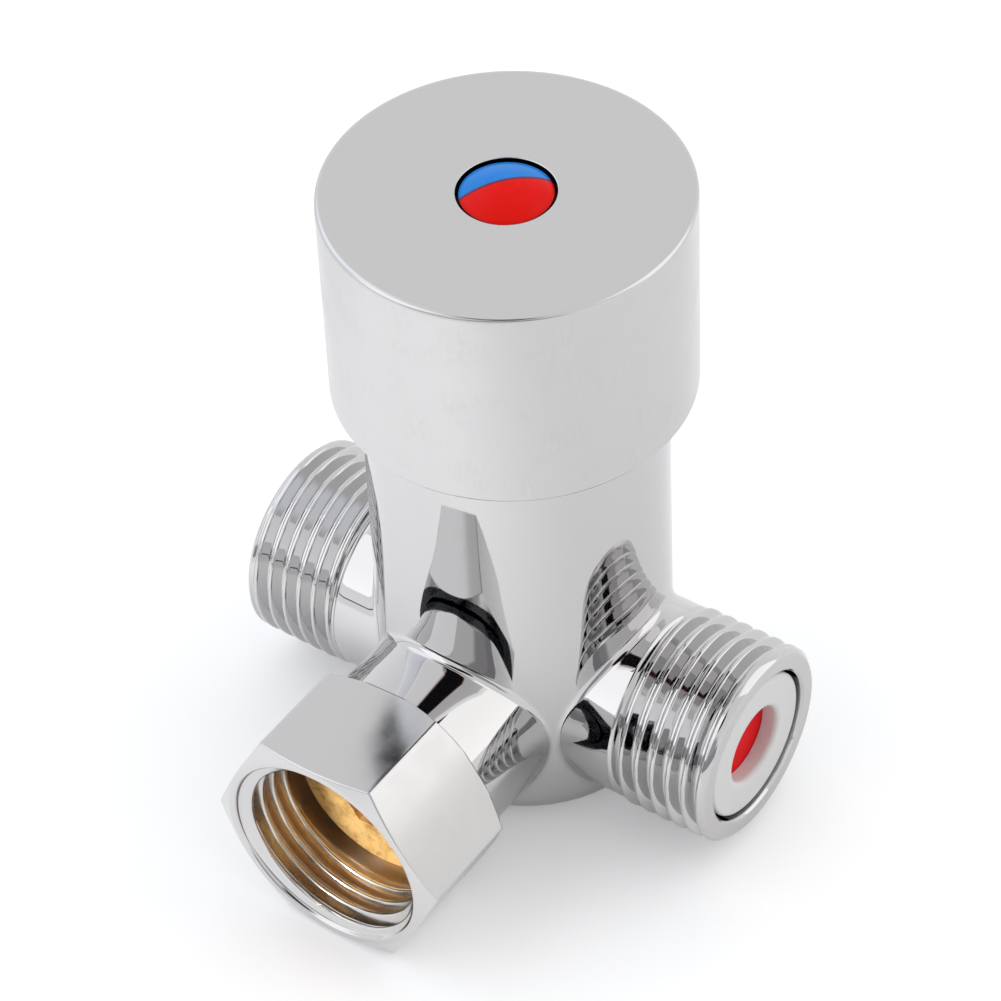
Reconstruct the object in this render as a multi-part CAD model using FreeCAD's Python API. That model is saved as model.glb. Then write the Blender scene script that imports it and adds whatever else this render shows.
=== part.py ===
import FreeCAD, Part
import math
import os

V = FreeCAD.Vector

# Mixing valve: two threaded inlets in line, a swivel-nut outlet across them and a mixing knob on top.
# Worked in millimetres about the point where the inlet axis crosses the knob axis. Inlets lie along X,
# the outlet points along -Y and the knob stands along +Z. The hot inlet is at +X, the cold one at -X.

# Parallel half-inch pipe thread on all three ports, drawn here as plain cylinders
thread_major_r = 10.48
thread_minor_r = 9.32

# Cast body
body_r = 14.85
body_bottom_z = -11.0
body_top_z = 41.0
body_round = 3.0
body_edge = 0.6
chamber_r = 12.6
chamber_floor_z = 9.4
neck_r = 10.22
neck_fillet = 0.9
neck_land = 1.65
mitre_deg = 45.0

# Inlets
inlet_reach = 27.8
inlet_end_chamfer = 0.55
inlet_socket_r = 8.1
inlet_socket_depth = 11.0
inlet_waterway_r = 4.4

# Outlet neck, tailpiece and swivel nut
outlet_reach = 34.7
outlet_waterway_r = 4.3
nut_length = 12.5
nut_across_flats = 22.9
nut_turn_deg = 3.4
nut_wall = 2.0
nut_mouth_r = 10.7
nut_front_circle_r = 12.4
nut_back_circle_r = 11.7
nut_chamfer_slope = 0.6
nut_relief_depth = 0.15
nut_relief_length = 2.9
nut_end_play = 0.3
tail_r = 7.9
tail_flange_r = 9.0
tail_flange_length = 1.5
tail_screwed_length = 6.5
tail_key_flats = 9.0
tail_key_depth = 4.0

# Ceramic disc cartridge
base_height = 3.6
peg_r = 1.4
peg_length = 1.6
port_circle_r = 6.8
port_half_width = 2.2
port_hole_r = 2.6
side_port_deg = 20.0
mix_travel_deg = 45.0
gasket_height = 1.2
disc_r = 11.0
fixed_disc_height = 3.4
moving_disc_r = 10.4
moving_disc_height = 3.6
mix_recess_depth = 1.6
carrier_r = 9.0
carrier_height = 4.4
drive_peg_r = 1.6
drive_peg_height = 1.0
stop_lug_half_deg = 15.0
stop_margin_deg = 0.3
housing_roof = 2.6
housing_neck_r = 7.2
housing_neck_height = 5.4
spindle_r = 4.6
spindle_flange_r = 7.6
spindle_flange_height = 2.2
tang_width = 3.2
tang_length = 11.0
tang_height = 2.4
shoulder_seal_height = 1.0
ring_width = 1.6
ring_depth = 0.9
spindle_ring_height = 3.4

# Screwed bonnet that holds the cartridge down
bonnet_flange_height = 1.4
bonnet_hex_flats = 21.0
bonnet_hex_height = 3.0
bonnet_bore_r = 8.4

# Knob, its screw and its two-colour cap
knob_r = 17.67
knob_bottom_z = 36.4
knob_top_z = 59.0
knob_edge = 0.35
knob_skirt_gap = 0.55
knob_roof = 4.2
knob_hole_r = 4.72
knob_hole_rim = 0.3
knob_hub_r = 6.8
knob_floor = 1.5
square_flats = 6.4
square_length = 9.0
square_corner_deg = 45.0
screw_r = 2.0
screw_length = 8.0
screw_head_r = 3.6
screw_head_height = 2.0
screw_recess_flats = 2.5
screw_recess_depth = 1.2
cap_height = 1.6
cap_dome = 1.3
cap_groove_depth = 0.8

# Check valve in each inlet
check_r = 7.75
check_set_back = 0.4
check_hole_r = 4.1
check_seat_depth = 1.8
check_bore_r = 6.4
check_mouth_chamfer = 0.4
guide_length = 3.0
guide_hub_r = 2.4
guide_spoke_width = 1.6
guide_spokes = 3
poppet_r = 5.3
poppet_height = 1.5
poppet_travel = 1.8
stem_r = 1.2
spring_wire = 0.6
spring_mean_r = 2.6
spring_turns = 2.5
wire_sides = 4

# Clearances
fit_gap = 0.05
run_gap = 0.08
film_gap = 0.03
free_gap = 0.3

# Heights that follow from the sizes above
base_z = chamber_floor_z + gasket_height
disc_z = base_z + base_height
moving_z = disc_z + fixed_disc_height + film_gap
carrier_z = moving_z + moving_disc_height
flange_z = carrier_z + carrier_height
roof_z = flange_z + spindle_flange_height + film_gap
shoulder_z = roof_z + housing_roof
bonnet_z = shoulder_z + shoulder_seal_height
neck_top_z = shoulder_z + housing_neck_height
housing_r = chamber_r - fit_gap
shelf_z = moving_z + moving_disc_height + free_gap
hole_floor_z = knob_top_z - cap_height - screw_head_height - free_gap
spindle_top_z = hole_floor_z - knob_floor - free_gap
square_z = spindle_top_z - square_length
hub_z = square_z + free_gap
check_face_x = inlet_reach - check_set_back
seat_x = check_face_x - check_seat_depth
poppet_back_x = seat_x - fit_gap - poppet_height
check_back_x = poppet_back_x - poppet_travel - spring_wire * (spring_turns + 1)
guide_back_x = check_back_x - guide_length
socket_x = inlet_reach - inlet_socket_depth
thread_x = body_r + neck_land
nut_back = outlet_reach - nut_length
neck_end = nut_back - nut_end_play
flange_back = nut_back + nut_wall + nut_end_play
tail_end = neck_end - tail_screwed_length
thread_mouth = outlet_reach - nut_mouth_r + thread_minor_r
side_port_angles = (side_port_deg, 180 - side_port_deg)
outlet_port_deg = 270.0


def cylinder(r, z0, z1):
    return Part.makeCylinder(r, z1 - z0, V(0, 0, z0))


def ring(outer_r, inner_r, z0, z1):
    return cylinder(outer_r, z0, z1).cut(cylinder(inner_r, z0, z1))


def turned(profile):
    # Closed outline of (radius, height) points turned once about Z
    points = [V(r, 0, z) for r, z in profile]
    outline = Part.makePolygon(points + points[:1])
    return Part.Face(outline).revolve(V(0, 0, 0), V(0, 0, 1), 360)


def prism(sides, across_flats, z0, z1, first_corner_deg=0.0):
    corner_r = across_flats / 2 / math.cos(math.pi / sides)
    angles = [math.radians(first_corner_deg + 360 * k / sides) for k in range(sides)]
    points = [V(corner_r * math.cos(a), corner_r * math.sin(a), z0) for a in angles]
    return Part.Face(Part.makePolygon(points + points[:1])).extrude(V(0, 0, z1 - z0))


def polar(r, deg, z):
    return V(r * math.cos(math.radians(deg)), r * math.sin(math.radians(deg)), z)


def kidney(mid_r, half_width, from_deg, to_deg, z0, z1):
    # Slot bent along a circle, with round ends
    outer_r = mid_r + half_width
    inner_r = mid_r - half_width
    mid_deg = (from_deg + to_deg) / 2
    outer = Part.Arc(polar(outer_r, from_deg, z0), polar(outer_r, mid_deg, z0), polar(outer_r, to_deg, z0))
    far_tip = polar(mid_r, to_deg, z0) + polar(half_width, to_deg + 90, 0)
    far = Part.Arc(polar(outer_r, to_deg, z0), far_tip, polar(inner_r, to_deg, z0))
    inner = Part.Arc(polar(inner_r, to_deg, z0), polar(inner_r, mid_deg, z0), polar(inner_r, from_deg, z0))
    near_tip = polar(mid_r, from_deg, z0) + polar(half_width, from_deg - 90, 0)
    near = Part.Arc(polar(inner_r, from_deg, z0), near_tip, polar(outer_r, from_deg, z0))
    wire = Part.Wire([curve.toShape() for curve in (outer, far, inner, near)])
    return Part.Face(wire).extrude(V(0, 0, z1 - z0))


def along_x(shape):
    # Local height becomes distance along +X
    return shape.rotated(V(0, 0, 0), V(0, 1, 0), 90)


def along_outlet(shape):
    # Local height becomes distance along the outlet axis
    return shape.rotated(V(0, 0, 0), V(1, 0, 0), 90)


def to_cold_side(shape):
    return shape.rotated(V(0, 0, 0), V(0, 0, 1), 180)


def barrel():
    plain = cylinder(body_r, body_bottom_z, body_top_z)
    rim = [edge for edge in plain.Edges if edge.BoundBox.ZMax < body_bottom_z + body_round]
    return plain.makeFillet(body_round, rim)


def with_neck(neck, side):
    # Barrel with one branch along side, blended by a fillet all round the line where the two meet
    joined = barrel().fuse(neck)
    seam = []
    for edge in joined.Edges:
        mid = edge.valueAt((edge.FirstParameter + edge.LastParameter) / 2)
        along = mid.dot(side)
        off_axis = (mid - side * along).Length
        if abs(off_axis - neck_r) < film_gap and along < body_r:
            seam.append(edge)
    return joined.makeFillet(neck_fillet, seam)


def sector_of(shape, from_deg, to_deg):
    # Branches of one radius mirror each other in the planes halfway between them, so they meet in a mitre
    reach = inlet_reach + outlet_reach
    wedge = Part.makeCylinder(reach, 2 * reach, V(0, 0, -reach), V(0, 0, 1), to_deg - from_deg)
    return shape.common(wedge.rotated(V(0, 0, 0), V(0, 0, 1), from_deg))


def valve_body():
    branch = along_x(turned([
        (0, 0),
        (neck_r, 0),
        (neck_r, thread_x),
        (thread_major_r, thread_x + thread_major_r - neck_r),
        (thread_major_r, inlet_reach - inlet_end_chamfer),
        (thread_major_r - inlet_end_chamfer, inlet_reach),
        (0, inlet_reach),
    ]))
    hot = with_neck(branch, V(1, 0, 0))
    outlet = with_neck(along_outlet(cylinder(neck_r, 0, neck_end)), V(0, -1, 0))
    hot_part = sector_of(hot, -mitre_deg, 90)
    cold_part = sector_of(to_cold_side(hot), 90, 180 + mitre_deg)
    outlet_part = sector_of(outlet, 180 + mitre_deg, 360 - mitre_deg)
    body = hot_part.fuse([cold_part, outlet_part]).removeSplitter()

    chamber = cylinder(chamber_r, chamber_floor_z, body_top_z)
    side_x = port_circle_r * math.cos(math.radians(side_port_deg))
    inlet = along_x(cylinder(inlet_socket_r, socket_x, inlet_reach).fuse(
        cylinder(inlet_waterway_r, side_x, socket_x)))
    outlet_bore = along_outlet(cylinder(tail_r + fit_gap, tail_end, neck_end).fuse(
        cylinder(outlet_waterway_r, port_circle_r, tail_end)))
    cuts = [chamber, inlet, to_cold_side(inlet), outlet_bore]
    for spot in port_places().values():
        cuts.append(cylinder(port_hole_r, 0, chamber_floor_z).translated(spot))
    peg_hole = cylinder(peg_r + fit_gap, chamber_floor_z - peg_length - free_gap, chamber_floor_z)
    cuts.append(peg_hole.translated(peg_place()))
    return body.cut(cuts)


def peg_place():
    # One peg opposite the outlet port keeps the cartridge from turning
    return polar(port_circle_r, outlet_port_deg - 180, 0)


def outlet_tailpiece():
    # Flanged sleeve that carries the nut and seats the pipe washer, with a key socket to screw it in
    sleeve = turned([
        (outlet_waterway_r, tail_end),
        (tail_r, tail_end),
        (tail_r, flange_back),
        (tail_flange_r, flange_back),
        (tail_flange_r, flange_back + tail_flange_length),
        (outlet_waterway_r, flange_back + tail_flange_length),
    ])
    face = flange_back + tail_flange_length
    key = prism(6, tail_key_flats, face - tail_key_depth, face, nut_turn_deg)
    return along_outlet(sleeve.cut(key))


def swivel_nut():
    # Local height is the distance from the knob axis along the outlet
    front = outlet_reach
    corner_r = nut_across_flats / 2 / math.cos(math.pi / 6)
    reach = corner_r + free_gap
    front_drop = (reach - nut_front_circle_r) * nut_chamfer_slope
    back_drop = (reach - nut_back_circle_r) * nut_chamfer_slope
    envelope = turned([
        (0, nut_back),
        (nut_back_circle_r, nut_back),
        (reach, nut_back + back_drop),
        (reach, front - front_drop),
        (nut_front_circle_r, front),
        (0, front),
    ])
    relief_r = thread_major_r + nut_relief_depth
    inner = nut_back + nut_wall
    relief_end = inner + nut_relief_length
    bore = turned([
        (0, nut_back),
        (tail_r + run_gap, nut_back),
        (tail_r + run_gap, inner),
        (relief_r, inner),
        (relief_r, relief_end),
        (thread_minor_r, relief_end),
        (thread_minor_r, thread_mouth),
        (nut_mouth_r, front),
        (0, front),
    ])
    hexagon = prism(6, nut_across_flats, nut_back, front, nut_turn_deg)
    return along_outlet(hexagon.common(envelope).cut(bore))


def port_places():
    places = {"hot": side_port_angles[0], "cold": side_port_angles[1], "outlet": outlet_port_deg}
    return {name: polar(port_circle_r, deg, 0) for name, deg in places.items()}


def side_kidney(mid_deg, z0, z1):
    return kidney(port_circle_r, port_half_width, mid_deg - mix_travel_deg + kidney_end_deg(),
                  mid_deg + mix_travel_deg - kidney_end_deg(), z0, z1)


def kidney_end_deg():
    # Angle that a slot's round end takes up
    return math.degrees(port_half_width / port_circle_r)


def cartridge_base():
    base = cylinder(housing_r, base_z, disc_z)
    base = base.fuse(cylinder(peg_r, chamber_floor_z - peg_length, base_z).translated(peg_place()))
    holes = [cylinder(port_hole_r, base_z, disc_z).translated(spot) for spot in port_places().values()]
    return base.cut(holes)


def port_gasket():
    gasket = cylinder(housing_r, chamber_floor_z, base_z)
    port = cylinder(port_hole_r, chamber_floor_z, base_z)
    peg_hole = cylinder(peg_r + fit_gap, chamber_floor_z, base_z)
    holes = [port.translated(spot) for spot in port_places().values()]
    return gasket.cut(holes + [peg_hole.translated(peg_place())])


def fixed_disc():
    top = disc_z + fixed_disc_height
    cuts = [side_kidney(deg, disc_z, top) for deg in side_port_angles]
    cuts.append(cylinder(port_hole_r, disc_z, top).translated(port_places()["outlet"]))
    return cylinder(disc_r, disc_z, top).cut(cuts)


def moving_disc():
    # The recess always covers the outlet port and half of each side port with the knob at the middle
    half_span = outlet_port_deg - 180 + side_port_deg - kidney_end_deg()
    from_deg = outlet_port_deg - half_span
    to_deg = outlet_port_deg + half_span
    recess = kidney(port_circle_r, port_half_width, from_deg, to_deg, moving_z, moving_z + mix_recess_depth)
    socket = cylinder(drive_peg_r + fit_gap, carrier_z - drive_peg_height - film_gap, carrier_z)
    sockets = [socket.translated(spot) for spot in drive_places()]
    return cylinder(moving_disc_r, moving_z, carrier_z).cut([recess] + sockets)


def drive_places():
    return [polar(port_circle_r, deg, 0) for deg in (0, 180)]


def lug_sector(outer_r, half_deg, z0, z1):
    sector = Part.makeCylinder(outer_r, z1 - z0, V(0, 0, z0), V(0, 0, 1), 2 * half_deg)
    return sector.rotated(V(0, 0, 0), V(0, 0, 1), 90 - half_deg)


def disc_carrier():
    # Turns the moving disc by two pegs, and stops the knob by one lug in the housing's window
    carrier = cylinder(carrier_r, carrier_z, flange_z)
    lug = lug_sector(disc_r - free_gap, stop_lug_half_deg, shelf_z + free_gap, flange_z)
    pegs = [cylinder(drive_peg_r, carrier_z - drive_peg_height, carrier_z).translated(spot)
            for spot in drive_places()]
    slot = Part.makeBox(tang_length + 2*fit_gap, tang_width + 2*fit_gap, tang_height + film_gap)
    corner = V(-tang_length / 2 - fit_gap, -tang_width / 2 - fit_gap, flange_z - tang_height - film_gap)
    return carrier.fuse([lug] + pegs).cut(slot.translated(corner)).removeSplitter()


def cartridge_housing():
    shell = turned([
        (disc_r + fit_gap, disc_z),
        (housing_r, disc_z),
        (housing_r, shoulder_z),
        (housing_neck_r, shoulder_z),
        (housing_neck_r, neck_top_z),
        (spindle_r + run_gap, neck_top_z),
        (spindle_r + run_gap, roof_z),
        (carrier_r + free_gap, roof_z),
        (carrier_r + free_gap, shelf_z),
        (disc_r + fit_gap, shelf_z),
    ])
    half_deg = stop_lug_half_deg + mix_travel_deg + stop_margin_deg
    return shell.cut(lug_sector(disc_r + fit_gap, half_deg, shelf_z, flange_z + free_gap))


def shoulder_seal():
    return ring(housing_r, housing_neck_r + fit_gap, shoulder_z, bonnet_z)


def spindle():
    post = turned([
        (0, flange_z),
        (spindle_flange_r, flange_z),
        (spindle_flange_r, flange_z + spindle_flange_height),
        (spindle_r, flange_z + spindle_flange_height),
        (spindle_r, spindle_ring_z() - ring_width / 2),
        (spindle_r - ring_depth, spindle_ring_z() - ring_width / 2),
        (spindle_r - ring_depth, spindle_ring_z() + ring_width / 2),
        (spindle_r, spindle_ring_z() + ring_width / 2),
        (spindle_r, square_z),
        (0, square_z),
    ])
    tang = Part.makeBox(tang_length, tang_width, tang_height)
    tang = tang.translated(V(-tang_length / 2, -tang_width / 2, flange_z - tang_height))
    round_top = cylinder(spindle_r, square_z, spindle_top_z)
    square = prism(4, square_flats, square_z, spindle_top_z, square_corner_deg).common(round_top)
    thread = cylinder(screw_r + fit_gap, screw_end_z() - free_gap, spindle_top_z)
    return post.fuse([tang, square]).removeSplitter().cut(thread)


def spindle_ring_z():
    return shoulder_z + spindle_ring_height


def spindle_seal():
    half = ring_width / 2 - fit_gap
    return ring(spindle_r + run_gap - film_gap, spindle_r - ring_depth, spindle_ring_z() - half,
                spindle_ring_z() + half)


def bonnet():
    flange_top = body_top_z + bonnet_flange_height
    threaded = turned([
        (housing_neck_r + fit_gap, bonnet_z),
        (chamber_r - fit_gap, bonnet_z),
        (chamber_r - fit_gap, body_top_z),
        (body_r - body_edge, body_top_z),
        (body_r - body_edge, flange_top),
        (bonnet_bore_r, flange_top),
        (bonnet_bore_r, neck_top_z),
        (housing_neck_r + fit_gap, neck_top_z),
    ])
    hexagon = prism(6, bonnet_hex_flats, flange_top, flange_top + bonnet_hex_height)
    return threaded.fuse(hexagon.cut(cylinder(bonnet_bore_r, flange_top, flange_top + bonnet_hex_height)))


def knob():
    skirt_r = body_r + knob_skirt_gap
    roof_z0 = knob_top_z - knob_roof
    shell = turned([
        (skirt_r, knob_bottom_z),
        (knob_r - knob_edge, knob_bottom_z),
        (knob_r, knob_bottom_z + knob_edge),
        (knob_r, knob_top_z - knob_edge),
        (knob_r - knob_edge, knob_top_z),
        (knob_hole_r + knob_hole_rim, knob_top_z),
        (knob_hole_r, knob_top_z - knob_hole_rim),
        (knob_hole_r, hole_floor_z),
        (screw_r + free_gap, hole_floor_z),
        (screw_r + free_gap, spindle_top_z),
        (0, spindle_top_z),
        (0, hub_z),
        (knob_hub_r, hub_z),
        (knob_hub_r, roof_z0),
        (skirt_r, roof_z0),
    ])
    flats = square_flats + 2*fit_gap
    square = prism(4, flats, hub_z, spindle_top_z + free_gap, square_corner_deg)
    socket = square.common(cylinder(spindle_r + fit_gap, hub_z, spindle_top_z + free_gap))
    return shell.cut(socket)


def screw_end_z():
    return hole_floor_z - screw_length


def knob_screw():
    head_top = hole_floor_z + screw_head_height
    shank = cylinder(screw_r, screw_end_z(), hole_floor_z)
    screw = shank.fuse(cylinder(screw_head_r, hole_floor_z, head_top))
    return screw.cut(prism(6, screw_recess_flats, head_top - screw_recess_depth, head_top))


def indicator_cap():
    # Shallow dome on a skirt that stands round the screw's head, with a narrow groove left round the dome
    edge_r = knob_hole_r - free_gap
    edge_z = knob_top_z - knob_hole_rim
    skirt_r = knob_hole_r - fit_gap
    inner_r = screw_head_r + free_gap
    under_z = hole_floor_z + screw_head_height + free_gap
    dome_r = (edge_r**2 + cap_dome**2) / (2 * cap_dome)
    half = math.asin(edge_r / dome_r) / 2
    crown = V(0, 0, edge_z + cap_dome)
    middle = V(dome_r * math.sin(half), 0, edge_z + cap_dome - dome_r + dome_r * math.cos(half))
    dome = Part.Arc(V(edge_r, 0, edge_z), middle, crown).toShape()
    corners = [
        crown,
        V(0, 0, under_z),
        V(inner_r, 0, under_z),
        V(inner_r, 0, hole_floor_z),
        V(skirt_r, 0, hole_floor_z),
        V(skirt_r, 0, edge_z - cap_groove_depth),
        V(edge_r, 0, edge_z - cap_groove_depth),
        V(edge_r, 0, edge_z),
    ]
    outline = Part.Wire([dome] + Part.makePolygon(corners).Edges)
    return Part.Face(outline).revolve(V(0, 0, 0), V(0, 0, 1), 360)


def check_housing():
    middle = (seat_x + check_back_x) / 2
    shell = turned([
        (check_hole_r, seat_x),
        (check_hole_r, check_face_x - check_mouth_chamfer),
        (check_hole_r + check_mouth_chamfer, check_face_x),
        (check_r - check_mouth_chamfer, check_face_x),
        (check_r, check_face_x - check_mouth_chamfer),
        (check_r, middle + ring_width / 2),
        (check_r - ring_depth, middle + ring_width / 2),
        (check_r - ring_depth, middle - ring_width / 2),
        (check_r, middle - ring_width / 2),
        (check_r, check_back_x),
        (check_bore_r, check_back_x),
        (check_bore_r, seat_x),
    ])
    return along_x(shell)


def check_seal():
    middle = (seat_x + check_back_x) / 2
    half = ring_width / 2 - fit_gap
    return along_x(ring(inlet_socket_r, check_r - ring_depth, middle - half, middle + half))


def check_guide():
    # Spider in the back of the check housing that guides the stem and backs the spring
    hub = cylinder(guide_hub_r, guide_back_x, check_back_x)
    spokes = []
    for k in range(guide_spokes):
        spoke = Part.makeBox(check_r, guide_spoke_width, guide_length)
        spoke = spoke.translated(V(0, -guide_spoke_width / 2, guide_back_x))
        spokes.append(spoke.rotated(V(0, 0, 0), V(0, 0, 1), 360 * k / guide_spokes))
    star = hub.fuse(spokes).removeSplitter().common(cylinder(check_r, guide_back_x, check_back_x))
    return along_x(star.cut(cylinder(stem_r + run_gap, guide_back_x, check_back_x)))


def check_poppet():
    # Disc that closes on the seat and opens inwards, on a stem in the guide
    front = seat_x - fit_gap
    return along_x(turned([
        (0, guide_back_x),
        (stem_r, guide_back_x),
        (stem_r, poppet_back_x),
        (poppet_r, poppet_back_x),
        (poppet_r, front),
        (0, front),
    ]))


def check_spring():
    lower = check_back_x + spring_wire / 2
    upper = poppet_back_x - spring_wire / 2 - fit_gap
    path = Part.makeHelix((upper - lower) / spring_turns, upper - lower, spring_mean_r)
    angles = [2 * math.pi * k / wire_sides for k in range(wire_sides)]
    centre = V(spring_mean_r, 0, 0)
    corners = [centre + V(math.cos(a), 0, math.sin(a)) * (spring_wire / 2) for a in angles]
    section = Part.makePolygon(corners + corners[:1])
    coil = Part.Wire(path).makePipeShell([section], True, True)
    return along_x(coil.translated(V(0, 0, lower)))


nodes = {
    "valve_body": valve_body(),
    "outlet_tailpiece": outlet_tailpiece(),
    "swivel_nut": swivel_nut(),
    "cartridge_base": cartridge_base(),
    "port_gasket": port_gasket(),
    "fixed_disc": fixed_disc(),
    "moving_disc": moving_disc(),
    "disc_carrier": disc_carrier(),
    "cartridge_housing": cartridge_housing(),
    "shoulder_seal": shoulder_seal(),
    "spindle": spindle(),
    "spindle_seal": spindle_seal(),
    "bonnet": bonnet(),
    "knob": knob(),
    "knob_screw": knob_screw(),
    "indicator_cap": indicator_cap(),
}
check_pieces = {
    "check_housing": check_housing(),
    "check_seal": check_seal(),
    "check_guide": check_guide(),
    "check_poppet": check_poppet(),
    "check_spring": check_spring(),
}
for name, shape in check_pieces.items():
    nodes["hot_" + name] = shape
    nodes["cold_" + name] = to_cold_side(shape)

# The finished frame has its origin on the outlet axis where the nut's thread begins
to_mouth = V(0, thread_mouth, 0)
os.makedirs("parts", exist_ok=True)
for name, shape in nodes.items():
    placed = shape.translated(to_mouth)
    placed.exportStep("parts/" + name + ".step")
    print(name, len(placed.Solids), placed.isValid(), round(placed.Volume, 1))
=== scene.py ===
import math

import bmesh
import bpy
import numpy as np
from mathutils import Matrix, Vector


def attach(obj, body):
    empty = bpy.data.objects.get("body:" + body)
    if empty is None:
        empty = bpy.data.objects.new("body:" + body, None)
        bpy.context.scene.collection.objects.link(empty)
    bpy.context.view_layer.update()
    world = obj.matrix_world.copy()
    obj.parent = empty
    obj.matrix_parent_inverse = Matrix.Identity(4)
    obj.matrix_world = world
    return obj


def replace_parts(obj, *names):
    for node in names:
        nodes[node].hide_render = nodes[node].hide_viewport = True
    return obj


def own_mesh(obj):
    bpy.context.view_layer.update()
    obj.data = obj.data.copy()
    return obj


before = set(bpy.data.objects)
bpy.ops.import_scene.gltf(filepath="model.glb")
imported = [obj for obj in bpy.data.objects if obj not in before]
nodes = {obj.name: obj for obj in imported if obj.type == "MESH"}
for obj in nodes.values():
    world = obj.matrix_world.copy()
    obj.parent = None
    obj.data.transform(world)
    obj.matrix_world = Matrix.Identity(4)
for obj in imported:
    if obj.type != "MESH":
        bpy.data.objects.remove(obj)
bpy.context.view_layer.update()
scene = bpy.context.scene

mm = 0.001
fullTurn = 2 * math.pi
axisY = 33.32  # the knob's axis, measured from the frame's origin at the outlet's thread mouth
cold, outlet = 180, -90  # turns about the knob axis that carry the hot neck to the other two

# short names for the kinds of node, the settings and the sockets that are used most
mathKind, vectorKind, rangeKind = "ShaderNodeMath", "ShaderNodeVectorMath", "ShaderNodeMapRange"
mixKind, noiseKind, bumpKind = "ShaderNodeMix", "ShaderNodeTexNoise", "ShaderNodeBump"
splitKind, joinKind = "ShaderNodeSeparateXYZ", "ShaderNodeCombineXYZ"
coordKind, pathKind = "ShaderNodeTexCoord", "ShaderNodeLightPath"
smooth, colourMix = dict(interpolation_type="SMOOTHSTEP"), dict(data_type="RGBA")
mixBy, firstNumber, secondNumber, firstColour, secondColour = 0, 2, 3, 6, 7  # inputs of a Mix node
mixedColour = 2  # its output
mostNoise = (0.3, 0.7)  # most of a noise pattern lies between these


# Colours, nodes and meshes

def toLinear(code):
    parts = [int(code[k:k + 2], 16) / 255 for k in (1, 3, 5)]
    return [c / 12.92 if c <= 0.04045 else ((c + 0.055) / 1.055)**2.4 for c in parts] + [1.0]


def setInputs(tree, node, inputs):
    # another node's socket is linked, and any other value is set on the input itself
    for key, value in inputs.items():
        if isinstance(value, bpy.types.NodeSocket):
            tree.links.new(value, node.inputs[key])
        else:
            node.inputs[key].default_value = value


def addNode(tree, kind, inputs=None, **settings):
    node = tree.nodes.new(kind)
    for key, value in settings.items():
        setattr(node, key, value)
    setInputs(tree, node, inputs or {})
    return node


def span(side, pair):
    # both ends of the From or To side of a Map Range node
    return {side + " Min": pair[0], side + " Max": pair[1]}


def newMaterial(name, constants):
    material = bpy.data.materials.new(name)
    material.use_nodes = True
    tree = material.node_tree
    shader = tree.nodes["Principled BSDF"]
    setInputs(tree, shader, constants)
    return material, tree, shader


def roundCorners(corners, radii, steps=4, longest=0.42, land=0.05, landLongest=0.46):
    # corners are rows of (radius, height) for one or more columns; each inner corner becomes a short
    # curve over at most the share longest of its edges, and a land beside it keeps the flat flat
    noLength, foldedShut = 1e-9, 1e-3
    corners = np.asarray(corners, float)
    rows = [corners[0]]
    for k in range(1, len(corners) - 1):
        here = corners[k]
        if not radii[k]:
            rows.append(here)
            continue
        back, ahead = corners[k - 1] - here, corners[k + 1] - here
        backLength = np.linalg.norm(back, axis=-1, keepdims=True)
        aheadLength = np.linalg.norm(ahead, axis=-1, keepdims=True)
        back = back / np.maximum(backLength, noLength)
        ahead = ahead / np.maximum(aheadLength, noLength)
        half = np.arccos(np.clip((back * ahead).sum(-1, keepdims=True), -1, 1)) / 2
        cut = radii[k] / np.maximum(np.tan(half), foldedShut)
        cut = np.minimum(cut, longest * np.minimum(backLength, aheadLength))
        start, end = here + back * cut, here + ahead * cut
        rows.append(here + back * np.minimum(cut + land, landLongest * backLength))
        for t in np.linspace(0, 1, steps + 1):
            rows.append(start * (1 - t)**2 + here * 2 * t * (1 - t) + end * t**2)
        rows.append(here + ahead * np.minimum(cut + land, landLongest * aheadLength))
    rows.append(corners[-1])
    return np.array(rows)


def ringAt(angle, r, z):
    # points about Z, with one radius and height for all the angles or for each of them
    return np.stack([r * np.cos(angle), r * np.sin(angle), z + 0 * angle], axis=-1)


def turnedRows(profile, columns):
    # profile holds (radius, height, rounding); the rows of points go once round Z
    corners = [[(r, z)] for r, z, _ in profile]
    rows = roundCorners(corners, [rounding for _, _, rounding in profile])
    return ringAt(np.arange(columns) * fullTurn / columns, rows[:, :, 0], rows[:, :, 1])


def skinOf(rows):
    # each row of points is a ring, and quads join it to the next
    count, columns = rows.shape[:2]
    k = np.arange(count - 1)[:, None] * columns
    j = np.arange(columns)[None, :]
    j2 = (j + 1) % columns
    faces = np.stack([k + j, k + j2, k + columns + j2, k + columns + j], axis=-1)
    return rows.reshape(-1, 3), faces.reshape(-1, 4).tolist()


def turnAbout(points, degrees):
    c, s = math.cos(math.radians(degrees)), math.sin(math.radians(degrees))
    x, y, z = points[:, 0], points[:, 1], points[:, 2]
    return np.stack([x * c - y * s, x * s + y * c, z], axis=-1)


def alongNeck(skin, degrees):
    # local height becomes the way out along a neck, then the neck is turned to its place
    points, faces = skin
    return turnAbout(points[:, [2, 0, 1]], degrees), faces


def objectOf(data, material, sharpDeg):
    data.polygons.foreach_set("use_smooth", [True] * len(data.polygons))
    data.set_sharp_from_angle(angle=math.radians(sharpDeg))
    data.materials.clear()
    data.materials.append(material)
    piece = bpy.data.objects.new(data.name, data)
    scene.collection.objects.link(piece)
    return piece


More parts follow.
